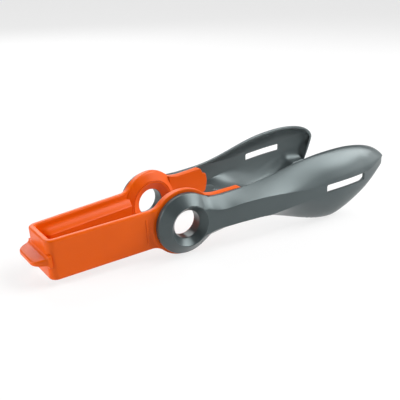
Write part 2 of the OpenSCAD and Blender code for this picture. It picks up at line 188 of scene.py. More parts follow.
@dataclass(frozen=True)
class Patch:
    """Points of a surface and the four-cornered faces between them."""

    points: Array
    faces: Index

    @classmethod
    def grid(cls, points: Array, drop: Mask | None = None) -> "Patch":
        """Span the cells of a grid of points whose last column joins the first.

        Args:
            points: Grid of points, rows by columns by 3.
            drop: Cells to leave open, or None.

        Returns:
            The patch.
        """
        rows, columns = points.shape[:2]
        i, j = np.meshgrid(np.arange(rows - 1), np.arange(columns), indexing="ij")
        k = (j + 1) % columns
        low, high = i * columns, (i + 1) * columns
        faces = np.stack([low + j, low + k, high + k, high + j], axis=-1)
        kept_faces = faces.reshape(-1, 4) if drop is None else faces[~drop]
        return cls(points.reshape(-1, 3), kept_faces)

    @classmethod
    def swept(cls, loops: Array) -> "Patch":
        """Skin closed loops, stations by points by 3, each end drawn to its loop's middle."""
        middles = loops[[0, -1]].mean(axis=1, keepdims=True) * np.ones((1, loops.shape[1], 1))
        return cls.grid(chain(middles[:1], loops, middles[1:]))

    @classmethod
    def turned(cls, profile: Array) -> "Patch":
        """Turn a closed profile of radius and outboard place about the hinge axis.

        A point at radius r and angle a lies at u = r cos a, z = r sin a.

        Args:
            profile: Points of the profile, n by 2, or one such profile for each step.

        Returns:
            The closed patch.
        """
        turn = np.linspace(0.0, 2.0 * np.pi, SIDES + 1)[:, None]
        radius, place = profile[..., 0], profile[..., 1]
        return cls.grid(stacked(radius * np.cos(turn), place, radius * np.sin(turn)))

    @classmethod
    def plate(cls, outline: Array, low: float, high: float, edge: float) -> "Patch":
        """Fill an outline in u and z to a plate with rounded edges.

        The outline moves in along its normals as the edge's quarter circle turns over. Two more
        loops inside each face, a part of the edge's radius further in, keep its shading flat.

        Args:
            outline: Closed outline, n by 2.
            low: Outboard place of one face.
            high: Outboard place of the other face.
            edge: Radius of the rounded edges.

        Returns:
            The closed patch.
        """
        along = np.roll(outline, -1, axis=0) - np.roll(outline, 1, axis=0)
        along /= np.linalg.norm(along, axis=1, keepdims=True)
        inward = np.stack([-along[:, 1], along[:, 0]], axis=1)
        quarter = quarter_turn(5)
        turn = chain(np.zeros(2), quarter, quarter[::-1], np.zeros(2))
        inset = edge * (1.0 - np.sin(turn))
        near_edge, far_in = 0.15 * edge, 0.5 * edge
        inset[[1, -2]] += near_edge
        inset[[0, -1]] += far_in
        rise = edge * (1.0 - np.cos(turn))
        place = np.where(np.arange(len(turn)) < len(turn) // 2, low + rise, high - rise)
        flat = outline[None] + inward[None] * inset[:, None, None]
        return cls.swept(stacked(flat[..., 0], place[:, None], flat[..., 1]))

    @classmethod
    def pad(cls, low: Array, high: Array, softness: float) -> "Patch":
        """Fill a box with a softened block.

        A superellipsoid: cosines and sines of two angles, raised to the softness.

        Args:
            low: Lowest corner of the box.
            high: Highest corner of the box.
            softness: Power of the angles' sines, from 0, a box, to 1, an ellipsoid.

        Returns:
            The closed patch.
        """
        def bent(wave: Array) -> Array:
            """Raise a wave to the softness and keep its sign."""
            return np.sign(wave) * np.abs(wave) ** softness

        turn = np.linspace(0.0, 2.0 * np.pi, 32, endpoint=False)
        tilt = np.linspace(-np.pi / 2, np.pi / 2, 17)[:, None]
        level = bent(np.cos(tilt))
        ball = stacked(level * bent(np.cos(turn)), level * bent(np.sin(turn)), bent(np.sin(tilt)))
        return cls.grid((low + high) / 2 + ball * (high - low) / 2)

    def joined(self, *others: "Patch") -> "Patch":
        """Put patches together.

        Args:
            others: The patches to add.

        Returns:
            One patch with the points and faces of all.
        """
        patches = (self, *others)
        starts = np.cumsum([0, *(len(p.points) for p in patches[:-1])])
        return Patch(
            np.concatenate([p.points for p in patches]),
            np.concatenate([p.faces + start for p, start in zip(patches, starts)]),
        )

    def mesh(self, name: str, gap: float) -> bpy.types.Mesh:
        """Make a smooth mesh in which points within a gap are one and all faces turn one way.

        Args:
            name: Name of the mesh.
            gap: The gap, in the units of the points.

        Returns:
            The mesh.
        """
        mesh = bpy.data.meshes.new(name)
        mesh.from_pydata(self.points.tolist(), [], self.faces.tolist())
        work = bmesh.new()
        work.from_mesh(mesh)
        bmesh.ops.remove_doubles(work, verts=work.verts, dist=gap)
        bmesh.ops.dissolve_degenerate(work, edges=work.edges, dist=gap)
        bmesh.ops.recalc_face_normals(work, faces=work.faces)
        work.to_mesh(mesh)
        work.free()
        mesh.polygons.foreach_set("use_smooth", np.ones(len(mesh.polygons), dtype=bool))
        return mesh


@dataclass(frozen=True)
class HingeFrame:
    """The frame of one hinge: its centre in metres and its three directions as rows."""

    side: Side
    origin: Array
    axes: Array

    @classmethod
    def from_joints(cls, side: Side, joints: list[dict]) -> "HingeFrame":
        """Read one side's frame from its fold joint and its squeeze joint.

        Args:
            side: The side.
            joints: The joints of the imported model.

        Returns:
            The side's frame.
        """
        named = {joint["name"]: joint for joint in joints}
        fold, squeeze = named[f"{side.value}_fold"], named[f"{side.value}_squeeze"]
        outboard = -side.hand * np.array(fold["axis"])
        up = -side.hand * np.array(squeeze["axis"])
        along = side.hand * np.cross(outboard, up)
        return cls(side, np.array(fold["pos_m"]), np.stack([along, outboard, up]))

    @classmethod
    def between(cls, near: "HingeFrame", far: "HingeFrame") -> "HingeFrame":
        """Set a frame on the middle plane, halfway between the two hinges.

        Args:
            near: The near side's frame.
            far: The far side's frame.

        Returns:
            The middle frame, with its second direction across the tongs.
        """
        along = near.axes[0] + far.axes[0]
        along /= np.linalg.norm(along)
        across = np.array([0.0, 1.0, 0.0])
        axes = np.stack([along, across, np.cross(along, across)])
        return cls(Side.FAR, (near.origin + far.origin) / 2, axes)

    @property
    def half_gap(self) -> float:
        """Distance of the hinge from the middle plane, in millimetres."""
        return abs(self.origin[1]) / MM

    @property
    def splay(self) -> float:
        """Angle of the arm to the middle plane."""
        return math.asin(abs(self.axes[0][1]))

    def place(self, points: Array) -> Array:
        """Carry points in millimetres in this frame to metres in the model's frame."""
        return self.origin + points @ self.axes * MM

    def plan(self, along: Array, across: Array) -> Array:
        """Find u and w of a point given along and across from the middle of both hinges.

        Args:
            along: Distance along the middle plane from the hinges.
            across: Distance from the middle plane.

        Returns:
            The u and w of the point.
        """
        c, s = math.cos(self.splay), math.sin(self.splay)
        out = across - self.half_gap
        return stacked(along * c + out * s, out * c - along * s)


@dataclass(frozen=True)
class NodeNet:
    """Adds nodes and links to one node tree."""

    tree: bpy.types.NodeTree

    def add(self, kind: str, inputs: dict | None = None, **settings: object) -> bpy.types.Node:
        """Add a node.

        Args:
            kind: Type of the node.
            inputs: Values or linked sockets by the input's name or number.
            settings: Properties of the node.

        Returns:
            The node.
        """
        node = self.tree.nodes.new(kind)
        for name, value in settings.items():
            setattr(node, name, value)
        for name, value in (inputs or {}).items():
            if isinstance(value, bpy.types.NodeSocket):
                self.tree.links.new(value, node.inputs[name])
            else:
                node.inputs[name].default_value = value
        return node


class MouldSkin:
    """The skin of a moulded plastic: slow clouding, and the fine grain of the mould."""

    NAME = "mould_skin"

    @classmethod
    def group(cls) -> bpy.types.NodeTree:
        """Make the node group once.

        Returns:
            The group, with a clouding mask, a polish mask and a grain height.
        """
        if cls.NAME in bpy.data.node_groups:
            return bpy.data.node_groups[cls.NAME]
        tree = bpy.data.node_groups.new(cls.NAME, "ShaderNodeTree")
        for name in ("Cloud Scale", "Grain Scale"):
            tree.interface.new_socket(name, in_out="INPUT", socket_type="NodeSocketFloat")
        for name in ("Clouding", "Polish", "Grain"):
            tree.interface.new_socket(name, in_out="OUTPUT", socket_type="NodeSocketFloat")
        net = NodeNet(tree)
        sizes = net.add("NodeGroupInput").outputs
        place = net.add("ShaderNodeTexCoord").outputs["Object"]

        def noise(scale: str, **settings: float) -> bpy.types.NodeSocket:
            """Noise of one of the group's scales on the piece's own coordinates."""
            inputs = {"Vector": place, "Scale": sizes[scale], **settings}
            return net.add("ShaderNodeTexNoise", inputs).outputs["Fac"]

        spread = {"From Min": 0.3, "From Max": 0.7}
        clouds = noise("Cloud Scale", Detail=2.0)
        polish = noise("Cloud Scale", Detail=5.0, Roughness=0.65, Distortion=0.8)
        grain = noise("Grain Scale", Detail=2.0, Roughness=0.6)
        clouding = net.add("ShaderNodeMapRange", {"Value": clouds, **spread})
        buffed = net.add("ShaderNodeMapRange", {"Value": polish, **spread})
        masks = {"Clouding": clouding.outputs["Result"], "Polish": buffed.outputs["Result"]}
        net.add("NodeGroupOutput", {**masks, "Grain": grain})
        return tree


@dataclass(frozen=True)
class MouldedFinish:
    """A moulded plastic: its colours, its gloss and its grain."""

    slot: str
    tone: Triple
    deep_tone: Triple
    gloss: Pair
    cloud_scale: float
    grain_scale: float
    grain_depth: float
    specular: float
    specular_tint: Triple = (1.0, 1.0, 1.0)

    def material(self) -> bpy.types.Material:
        """Make the material once.

        Returns:
            The material, named after the finish's slot.
        """
        name = f"moulded_{self.slot}"
        if name in bpy.data.materials:
            return bpy.data.materials[name]
        material = bpy.data.materials.new(name)
        material.use_nodes = True
        net = NodeNet(material.node_tree)
        net.tree.nodes.clear()
        skin = net.add(
            "ShaderNodeGroup", {"Cloud Scale": self.cloud_scale, "Grain Scale": self.grain_scale},
            node_tree=MouldSkin.group(),
        )
        colour = net.add(
            "ShaderNodeMixRGB",
            {"Fac": skin.outputs["Clouding"], "Color1": (*self.deep_tone, 1.0),
             "Color2": (*self.tone, 1.0)},
        )
        rough = net.add(
            "ShaderNodeMapRange",
            {"Value": skin.outputs["Polish"], "To Min": self.gloss[0], "To Max": self.gloss[1]},
        )
        bump = net.add(
            "ShaderNodeBump",
            {"Height": skin.outputs["Grain"], "Strength": 1.0, "Distance": self.grain_depth * MM},
        )
        shader = net.add(
            "ShaderNodeBsdfPrincipled",
            {"Base Color": colour.outputs["Color"], "Roughness": rough.outputs["Result"],
             "Normal": bump.outputs["Normal"], "Specular IOR Level": self.specular,
             "Specular Tint": (*self.specular_tint, 1.0)},
        )
        net.add("ShaderNodeOutputMaterial", {"Surface": shader.outputs["BSDF"]})
        return material

    def dress(self, piece: bpy.types.Object) -> None:
        """Give a piece this finish."""
        piece.data.materials.clear()
        piece.data.materials.append(self.material())


HANDLE_ORANGE = MouldedFinish(
    slot="handle_orange", tone=(0.76, 0.108, 0.0015), deep_tone=(0.72, 0.098, 0.0015),
    gloss=(0.28, 0.36), cloud_scale=38.0, grain_scale=2600.0, grain_depth=0.012, specular=0.17,
)
HEAD_GREY = MouldedFinish(
    slot="head_grey", tone=(0.056, 0.070, 0.073), deep_tone=(0.050, 0.062, 0.065),
    gloss=(0.285, 0.335), cloud_scale=30.0, grain_scale=2100.0, grain_depth=0.006, specular=0.6,
    specular_tint=(0.84, 0.99, 1.0),
)


def show(shown: bpy.types.Object) -> bpy.types.Object:
    """Link an object to the scene and hand it back."""
    bpy.context.scene.collection.objects.link(shown)
    return shown


def add_piece(
    name: str, patch: Patch, place: HingeFrame, finish: MouldedFinish
) -> bpy.types.Object:
    """Make a dressed mesh object of a patch.

    Args:
        name: Name of the piece.
        patch: The patch, in millimetres.
        place: The frame it is written in.
        finish: Its finish.

    Returns:
        The object, at the origin with its place in its mesh.
    """
    mesh = Patch(place.place(patch.points), patch.faces).mesh(name, WELD)
    mesh.set_sharp_from_angle(angle=SHARP)
    mesh.update()
    piece = show(bpy.data.objects.new(name, mesh))
    finish.dress(piece)
    LOG.info("%s: %d faces in %s", name, len(mesh.polygons), finish.slot)
    return piece


@dataclass(frozen=True)
class Eye:
    """The round eye at the end of an arm, which holds the head's hub."""

    ring_r: float = 21.5
    hole_r: float = 12.35
    face: float = -0.5
    edge_t: float = 3.0
    arm_edge_t: float = 4.9
    thick_to: float = 45.0
    thin_over: float = 75.0
    lip_t: float = 6.3
    pocket_r: float = 15.1
    pocket_floor: float = -2.1
    bevel: float = 0.4

    def profile(self, edge_t: float) -> Array:
        """Round the eye's section: outer face, rim, cone up to the lip, and pocket.

        Args:
            edge_t: Thickness at the rim.

        Returns:
            The section's outline.
        """
        inner, lip = self.face - edge_t, self.face - self.lip_t
        corners = [
            (self.hole_r, self.face), (self.ring_r, self.face), (self.ring_r, inner),
            (self.pocket_r + self.bevel, lip), (self.pocket_r, lip + self.bevel),
            (self.pocket_r, self.pocket_floor), (self.hole_r, self.pocket_floor),
        ]
        return rounded(corners, [0.2, 0.5, 1.1, 0.25, 0.2, 0.2, 0.2])

    def patch(self) -> Patch:
        """Turn the eye's section, whose rim eases out to the arm's thickness where the two meet.

        Returns:
            The eye.
        """
        from_arm = np.abs(np.linspace(-180.0, 180.0, SIDES + 1))[:, None, None]
        share = 1.0 - ease(from_arm, self.thick_to, self.thin_over)
        return Patch.turned(mix(self.profile(self.edge_t), self.profile(self.arm_edge_t), share))


@dataclass(frozen=True)
class Handle:
    """The sprung handle: a bent strip with a bar along each arm, an eye at each end, and tabs."""

    near: HingeFrame
    far: HingeFrame
    length: float = 85.4
    half_height: float = 12.6
    wall: float = 3.7
    corner_r: float = 5.0
    inset: float = 1.6
    edge_r: float = 1.3
    face_half: float = 10.4
    fine_from: float = 30.0
    ramp_top: float = 21.1
    strip_end: float = 16.8
    circle_from: float = 60.0
    circle_over: float = 22.0
    bar_depth: float = 4.6
    bar_face: float = 5.0
    bar_root: float = 9.8
    bar_end: float = 18.3
    bar_round: float = 0.75
    bar_lead: float = 0.5
    bar_grow: float = 5.0
    blend_r: float = 10.0
    ramp_run: float = 5.0
    ramp_short: float = 0.1
    flex_from: float = 78.8
    flex_to: float = 58.8
    rib_at: float = 25.4
    rib_w: float = 1.4
    rib_half: float = 8.5
    rib_rise: float = 0.45
    rib_sink: float = 1.0
    tab_reach: float = 49.2
    tab_rise: float = 12.3
    tab_drop: float = 6.5
    tab_t: float = 4.6
    tab_inset: float = 0.6
    tab_root: float = 4.0
    tab_fillet: Pair = (5.5, 2.0)
    tab_notch: float = 2.6
    tab_notch_h: float = 4.6
    tab_notch_lean: float = 1.3
    tab_end_lean: float = 1.6
    tab_low_lean: float = 2.56
    tab_bulge: float = 0.3
    tongue_len: float = 8.2
    tongue_root_w: float = 29.0
    tongue_end_w: float = 23.0
    tongue_root_t: float = 5.0
    tongue_end_t: float = 2.6
    tongue_corner_r: float = 4.0
    tongue_edge_r: float = 0.9
    tongue_most_edge: float = 0.8
    tongue_blunt: float = 0.8
    tongue_end_fall: float = 0.55
    tongue_fillet: float = 1.8
    tongue_flare_t: float = 0.8
    tongue_flare_w: float = 0.3
    eye: Eye = Eye()

    def edge_height(self, away: Array) -> Array:
        """Half height of the strip at a distance from the hinge.

        It is level along the arm, follows a round tangent to the arm's edge and to the eye, and
        then keeps its angle inside the eye.

        Args:
            away: Distance from the hinge axis.

        Returns:
            The half height.
        """
        ring, lift = self.eye.ring_r, self.half_height + self.blend_r
        reach = ring + self.blend_r
        meet = math.asin(lift / reach)
        leave = math.hypot(reach * math.cos(meet), self.half_height)
        inside = np.clip(away, ring, leave)
        swing = np.arccos(np.clip(
            (inside ** 2 + reach ** 2 - self.blend_r ** 2) / (2 * reach * inside), -1.0, 1.0
        ))
        round_edge = inside * np.sin(meet - swing) * np.minimum(away, ring) / ring
        return np.where(away >= leave, self.half_height, round_edge)

    def ramp(self, away: Array) -> Array:
        """Rise of the outer face up to the eye: a quarter of an ellipse, hollow outwards."""
        step = self.inset + self.eye.face - self.ramp_short
        return step * round_off((self.eye.ring_r + self.ramp_run - away) / self.ramp_run)

    def half_strip(self, place: HingeFrame) -> Patch:
        """Carry a rounded section from the middle of the closed end, round its corner, to the eye.

        Each station has an outer point, an outward normal and a section with rounded edges.
        Along the arm the stations turn into circles about the hinge, so the strip meets the eye
        squarely, and the section's inner face swells into the bar.

        Args:
            place: The side's frame.

        Returns:
            The closed half of the strip.
        """
        c, s = math.cos(place.splay), math.sin(place.splay)
        corner_w = -self.inset - self.corner_r
        corner_u = (self.corner_r - self.length + corner_w * s) / c
        corner_y = place.half_gap + corner_u * s + corner_w * c
        end = place.plan(np.array(-self.length), np.linspace(0.0, corner_y, 8)[:-1])
        turn = np.linspace(np.pi - place.splay, np.pi / 2, 17)
        bend_normal = stacked(np.cos(turn), np.sin(turn))
        bend = np.array([corner_u, corner_w]) + self.corner_r * bend_normal
        away = np.unique(np.round(chain(
            np.linspace(-corner_u, self.fine_from, 36)[1:],
            np.linspace(self.fine_from, self.ramp_top, 33)[1:],
            np.linspace(self.ramp_top, self.strip_end, 9)[1:],
            self.bar_end + np.array([self.bar_round, 0.3, 0.08, 0.0, -0.05, -0.5]),
        ), 4))[::-1]
        arm = stacked(-away, -self.inset)
        base = chain(end, bend, arm)
        normal = chain(
            np.broadcast_to([-c, s], end.shape), bend_normal,
            np.broadcast_to([0.0, 1.0], arm.shape),
        )
        bow_away = np.full(len(end) + len(bend), self.length)
        away = chain(bow_away, away)[:, None]

        quarter, face = quarter_turn(7), np.linspace(-self.face_half, self.face_half, 53)
        out, up, rim = np.cos(quarter), np.sin(quarter), np.ones_like(quarter)
        none, blank = np.zeros_like(quarter), np.zeros_like(face)
        level = chain(face, none, none, face[::-1], none, none)
        edge = chain(blank, rim, rim, blank, -rim, -rim)
        lift = chain(blank, up, out, blank, -up, -out)
        dip = chain(blank, 1 - out, 1 - up, blank, 1 - out, 1 - up)
        half = len(face) + len(quarter)
        index = np.arange(len(level))
        outer = (index < half) | (index >= 2 * half + len(quarter))
        on_bar = (index >= half + len(quarter)) & (index < 2 * half)

        z = level + edge * (self.edge_height(away) - self.edge_r) + lift * self.edge_r
        swell = kept((self.bar_root - np.abs(level)) / (self.bar_root - self.bar_face)) ** 2
        past_end = kept((away - self.bar_end) / self.bar_round)
        run = (
            ease(away, -corner_u - self.bar_lead, -self.bar_grow)
            * np.sqrt(past_end * (2.0 - past_end))
        )
        depth = np.where(
            outer, self.ramp(away) - dip * self.edge_r,
            -self.wall + dip * self.edge_r - on_bar * swell * run * self.bar_depth,
        )
        circling = ease(away, self.circle_from, -self.circle_over)
        u = -np.sqrt(base[:, :1] ** 2 - circling * z ** 2) + depth * normal[:, :1]
        w = base[:, 1:] + depth * normal[:, 1:]
        return Patch.swept(stacked(u, w, z))

    def tab(self) -> Patch:
        """Fill the tab's outline: a bar with a round end, a notch and a filleted root.

        Returns:
            The tab.
        """
        reach, rise, lean = self.tab_reach, self.tab_rise, self.tab_end_lean
        shelf, root, top = rise - self.tab_notch_h, self.eye.ring_r - self.tab_root, reach - lean
        notch, (run, flare) = top - self.tab_notch, self.tab_fillet
        outline = [
            (root, -self.tab_drop), (reach - self.tab_low_lean, -self.tab_drop),
            (reach, self.tab_bulge * shelf), (top, shelf), (notch, shelf),
            (notch - self.tab_notch_lean, rise), (root + run, rise), (root - flare, rise + flare),
        ]
        face = rounded(outline, [1.6, 2.2, 3.4, 1.2, 0.9, 2.0, 3.0, 1.0])
        return Patch.plate(face, -self.tab_inset - self.tab_t, -self.tab_inset, edge=0.45)

    def rib(self) -> Patch:
        """Fill the thumb rib, a softened bar across the arm's outer face.

        Returns:
            The rib.
        """
        low = np.array([-self.rib_at, -self.inset - self.rib_sink, -self.rib_half])
        high = np.array([self.rib_w - self.rib_at, -self.inset + self.rib_rise, self.rib_half])
        return Patch.pad(low, high, softness=0.35)

    def tongue(self) -> Patch:
        """Carry a rounded section out of the closed end to the end of the pull tongue.

        The section is a wedge in thickness and a trapezium in plan. A hollow fillet widens it at
        its root, and quarter ellipses close its corners and its end.

        Returns:
            The tongue.
        """
        length, fillet = self.tongue_len, self.tongue_fillet
        corner, blunt = self.tongue_corner_r, self.tongue_blunt
        out = chain(
            np.linspace(-self.wall / 2, 0.0, 3), fillet * (1 - np.cos(quarter_turn(9)))[1:],
            np.linspace(fillet, length - corner, 5)[1:],
            length - corner + corner * np.sin(quarter_turn(13))[1:],
        )[:, None]
        share = kept(out / length)
        flare = fillet * round_off(1.0 - out / fillet)
        drawn = corner * round_off((out - length + corner) / corner)
        closing = blunt * round_off((out - length + blunt) / blunt)
        half_t = (
            mix(self.tongue_root_t, self.tongue_end_t, share) / 2
            - self.tongue_end_fall * closing + self.tongue_flare_t * flare
        )
        half_w = (
            mix(self.tongue_root_w, self.tongue_end_w, share) / 2
            - drawn + self.tongue_flare_w * flare
        )
        edge = np.minimum(self.tongue_edge_r, self.tongue_most_edge * half_t)
        quarter = quarter_turn(6)
        turn = (quarter + np.pi / 2 * np.arange(4)[:, None]).ravel()
        right = np.repeat([1, -1, -1, 1], len(quarter))
        above = np.repeat([1, 1, -1, -1], len(quarter))
        across = right * (half_w - edge) + edge * np.cos(turn)
        z = above * (half_t - edge) + edge * np.sin(turn)
        return Patch.swept(stacked(-self.length - out, across, z))

    def build(self) -> None:
        """Make the two halves of the handle, which meet at the bow, and the tongue on the bow."""
        for place in (self.near, self.far):
            name = place.side.value
            patch = self.half_strip(place).joined(self.eye.patch(), self.tab(), self.rib())
            piece = add_piece(f"{name}_handle", patch, place, HANDLE_ORANGE)
            mid = -self.inset - self.wall / 2
            ends = place.place(np.array([[-self.flex_from, mid, 0.0], [-self.flex_to, mid, 0.0]]))
            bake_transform(piece)
            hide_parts(f"{name}_arm")
        tongue = add_piece(
            "pull_tongue", self.tongue(), HingeFrame.between(self.near, self.far), HANDLE_ORANGE
        )
        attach(tongue, "handle_bow")
        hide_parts("handle_bow")


@dataclass(frozen=True)
class ScoopHead:
    """A scoop head: a hollow shell with a slotted web, on a ring with a crest and a hollow hub.

    A pair of numbers is a place along the head, or on its wall, and the length of an easing from
    there on, apart from the flares, a height and a length, and the powers of the sweep.
    """

    WEB: ClassVar[Array] = np.array([0.0, 0.35, 0.7, 0.9, 1.0])
    TURN: ClassVar[Array] = np.pi / 2 * chain(
        np.linspace(0.0, 0.8, 21), np.linspace(0.8, 1.0, 9)[1:]
    )
    LIP: ClassVar[Array] = quarter_turn(5)[1:]

    place: HingeFrame
    tip: Tip
    reach: float
    shell_t: float = 2.2
    scoop_depth: float = 15.3
    tip_depth: float = 5.2
    tip_rise: float = 4.5
    neck_rise: float = 12.3
    neck_drop: float = 11.0
    neck_at: float = 47.2
    upper_flare: Pair = (2.8, 14.7)
    lower_flare: Pair = (3.0, 22.7)
    swell_at: float = 31.2
    brow_rise: float = 20.7
    brow_at: float = 122.2
    belly_drop: float = 28.5
    belly_at: float = 117.2
    sweep_powers: Pair = (1.4, 0.85)
    bowl_power: float = 2.4
    nose: float = 4.0
    nose_fall: float = 0.55
    nose_wall: float = 12.0
    web_half: float = 7.2
    web_drop: float = 0.6
    web_spread: float = 1.2
    spread_len: float = 9.0
    web_dip: float = 1.0
    dip_at: float = 25.0
    dip_len: float = 8.0
    blade_drop: float = 15.2
    blade_lean: float = 9.2
    lean_power: float = 0.75
    slot_at: float = 104.2
    slot_len: float = 37.0
    slot_h: float = 6.0
    slot_corner_r: float = 1.2
    slot_ease: float = 0.12
    slot_margin: float = 0.4
    teeth: int = 6
    tooth_pitch: float = 4.0
    tooth_depth: float = 1.2
    tooth_back: float = 10.0
    tooth_peak: float = 0.35
    tooth_foot: float = 0.45
    tooth_wall: Pair = (4.4, 0.8)
    lip_r: float = 0.8
    lip_share: float = 0.4
    step_depth: float = 0.7
    step_rise: Pair = (16.0, 7.0)
    step_wane: Pair = (22.0, 50.0)
    step_waned: float = 0.72
    step_stop: Pair = (80.0, 22.0)
    step_lead: float = 2.0
    step_back: float = 10.0
    neck_shoulder: float = 1.95
    upper_shoulder: float = 1.25
    lower_shoulder: float = 1.0
    tip_fullness: float = 2.0
    least_flat: float = 1.0
    most_flat: float = 0.6
    most_wall: float = 0.3
    ring_r: float = 19.7
    bore_r: float = 9.0
    hub_r: float = 12.3
    hub_end: float = -3.7
    sink_depth: float = 4.6
    crest_r: float = 13.0
    crest_h: float = 8.2
    ring_edge_t: float = 2.8
    ring_back: float = 0.2
    ring_root: float = 9.0
    ring_clear: float = 24.0
    ring_inset: float = 0.25
    ring_fillet: float = 4.0
    ring_fade: Pair = (26.0, 24.0)
    foot_fall: Pair = (17.0, 40.0)
    crest_cover: float = 0.15
    cone_sink: float = 0.3
    cone_fillet: float = 0.05
    fillet_grow: float = 2.2
    fillet_run: float = 7.0
    web_sink: float = 0.2
    sink_run: float = 6.0
    shell_start: float = 14.4
    fine_to: float = 34.0
    channel_start: float = 23.0
    lug_start: float = 50.2
    lug_len: float = 9.0
    lug_h: float = 5.6
    lug_end_h: float = 3.0
    lug_in: float = 0.4
    lug_out: float = 4.0
    bevel_w: float = 0.3
    bevel_from: float = 55.0

    @property
    def slot_end(self) -> float:
        """Far end of the slot."""
        return self.slot_at + self.slot_len

    @property
    def first_tooth(self) -> float:
        """Where the saw teeth begin."""
        return self.belly_at - self.tooth_back - self.tooth_pitch * self.teeth / 2

    def flare(self, u: Array, upper: bool) -> Array:
        """Flare of a neck's edge out to the ring: a square that dies away along the neck."""
        height, length = self.upper_flare if upper else self.lower_flare
        return height * kept(1 - (u - self.crest_r) / length) ** 2

    def swell(self, u: Array) -> Array:
        """Share of the way from the neck to the belly, eased."""
        return ease(u, self.neck_at, self.belly_at - self.neck_at)

    def past_belly(self, u: Array) -> Array:
        """Share of the way from the belly to the tip."""
        return kept((u - self.belly_at) / (self.reach - self.belly_at))

    def upper_edge(self, u: Array) -> Array:
        """Upper rim: level neck, swell to the brow, then a quarter superellipse to the tip.

        Args:
            u: Distance along the head.

        Returns:
            Height of the rim.
        """
        swell = soft_ease(u, self.swell_at, self.brow_at - self.swell_at)
        past = kept((u - self.brow_at) / (self.reach - self.brow_at))
        fall = (1 - past ** self.tip_fullness) ** (1 / self.tip_fullness)
        return np.where(
            u < self.brow_at, mix(self.neck_rise, self.brow_rise, swell),
            mix(self.tip_rise, self.brow_rise, fall),
        )

    def lower_edge(self, u: Array) -> Array:
        """Lower rim: arched neck, swell to the belly, then a sweep up to the tip or the blade.

        Args:
            u: Distance along the head.

        Returns:
            Height of the rim.
        """
        neck = mix(-self.neck_drop, -self.belly_drop, self.swell(u))
        early, late = self.sweep_powers
        swept = mix(self.tip_rise, -self.belly_drop, (1 - self.past_belly(u) ** early) ** late)
        if self.tip is Tip.BLADE:
            lean = kept((self.reach - u) / self.blade_lean) ** self.lean_power
            swept = np.minimum(swept, mix(self.tip_rise, -self.blade_drop, lean))
        return np.where(u < self.belly_at, neck, swept)

    def web_out(self, u: Array) -> Array:
        """Outer face of the web: a quarter sine out from the crest, then in to the tip.

        Args:
            u: Distance along the head.

        Returns:
            Outboard place of the web.
        """
        share = kept((u - self.crest_r) / (self.belly_at - self.crest_r))
        neck = mix(self.crest_h, self.scoop_depth, np.sin(np.pi / 2 * share))
        bowl = mix(self.tip_depth, self.scoop_depth, 1 - self.past_belly(u) ** self.bowl_power)
        end = self.nose_fall * round_off((u - self.reach + self.nose) / self.nose)
        return np.where(u < self.belly_at, neck, bowl * (1 - end))

    def web_flat(self, u: Array) -> Array:
        """Half height of the flat web: spread at the ring, dipped past it, and down to the slot.

        Args:
            u: Distance along the head.

        Returns:
            The half height; the dip is a bell curve.
        """
        down = ease(u, self.neck_at, self.slot_at - self.neck_at)
        dip = self.web_dip * np.exp(-((u - self.dip_at) / self.dip_len) ** 2)
        spread = self.web_spread * kept(1 - (u - self.crest_r) / self.spread_len) ** 2
        return mix(self.web_half, self.slot_h / 2, down) - dip + spread

    def slot_edge(self, u: Array, flat: Array) -> Array:
        """Half height of the web's middle columns, drawn in by a circle at the slot's corners."""
        in_radii = np.minimum(u - self.slot_at, self.slot_end - u) / self.slot_corner_r
        return flat - self.slot_corner_r * (in_radii >= 0.0) * round_off(1.0 - in_radii)

    def keel(self, u: Array) -> Array:
        """Middle line of the web: level as far as the slot, then up to the tip."""
        past_slot = ease(u, self.slot_end, self.reach - self.slot_end)
        return mix(-self.web_drop, self.tip_rise, past_slot)

    def shoulder(self, u: Array, upper: bool) -> Array:
        """Power of the shoulders: from near 2, a chamfer, to near 1, an ellipse, at the bowl."""
        bowl = self.upper_shoulder if upper else self.lower_shoulder
        return mix(self.neck_shoulder, bowl, self.swell(u))

    def step(self, u: Array) -> Array:
        """Depth of the step above the web: strong along the neck, gone at the slot, back past it.

        Args:
            u: Distance along the head.

        Returns:
            The depth, a product of easings on either side of the slot.
        """
        neck = ease(u, *self.step_rise) * (1 - self.step_waned * ease(u, *self.step_wane))
        neck = neck * (1 - ease(u, *self.step_stop))
        end = ease(u, self.slot_end - self.step_lead, self.step_back)
        end = end * (1 - ease(u, self.reach - self.nose, self.nose))
        return self.step_depth * (neck + end)

    def tooth(self, u: Array) -> Array:
        """Depth of the saw teeth in the lower rim: a slope for a third of the pitch, then a flank.

        Args:
            u: Distance along the head.

        Returns:
            Height cut from the rim.
        """
        peak, foot = self.tooth_peak, self.tooth_foot
        phase = (u - self.first_tooth) / self.tooth_pitch
        share = phase - np.floor(phase)
        saw = np.where(share < peak, share / peak, kept((foot - share) / (foot - peak)))
        return np.where((phase >= 0) & (phase < self.teeth), self.tooth_depth * saw, 0.0)

    def stations(self) -> Array:
        """Places of the sections: close at the ring, the teeth, the slot's corners and the tip.

        Returns:
            Distances along the head, rising.
        """
        first, slot_end, r = self.first_tooth, self.slot_end, self.slot_corner_r
        starts = first + self.tooth_pitch * np.arange(self.teeth)[:, None]
        teeth = starts + np.array([0.0, 0.7, 1.4, 1.8, 2.9])
        corner = r * (1 - np.cos(quarter_turn(6)))
        every = chain(
            np.linspace(self.shell_start, self.fine_to, 44), np.linspace(self.fine_to, first, 48),
            teeth.ravel(), self.slot_at + corner, slot_end - corner,
            np.linspace(first + self.tooth_pitch * self.teeth, slot_end - r, 14),
            np.array([self.slot_at - self.slot_margin, slot_end + self.slot_margin]),
            mix(slot_end, self.reach, np.sin(quarter_turn(30))),
        )
        return np.unique(np.round(every, 4))

    def half_height(self, u: Array, upper: bool) -> Array:
        """Height of one rim from the web's middle line."""
        keel = self.keel(u)
        return self.upper_edge(u) - keel if upper else keel - self.lower_edge(u)

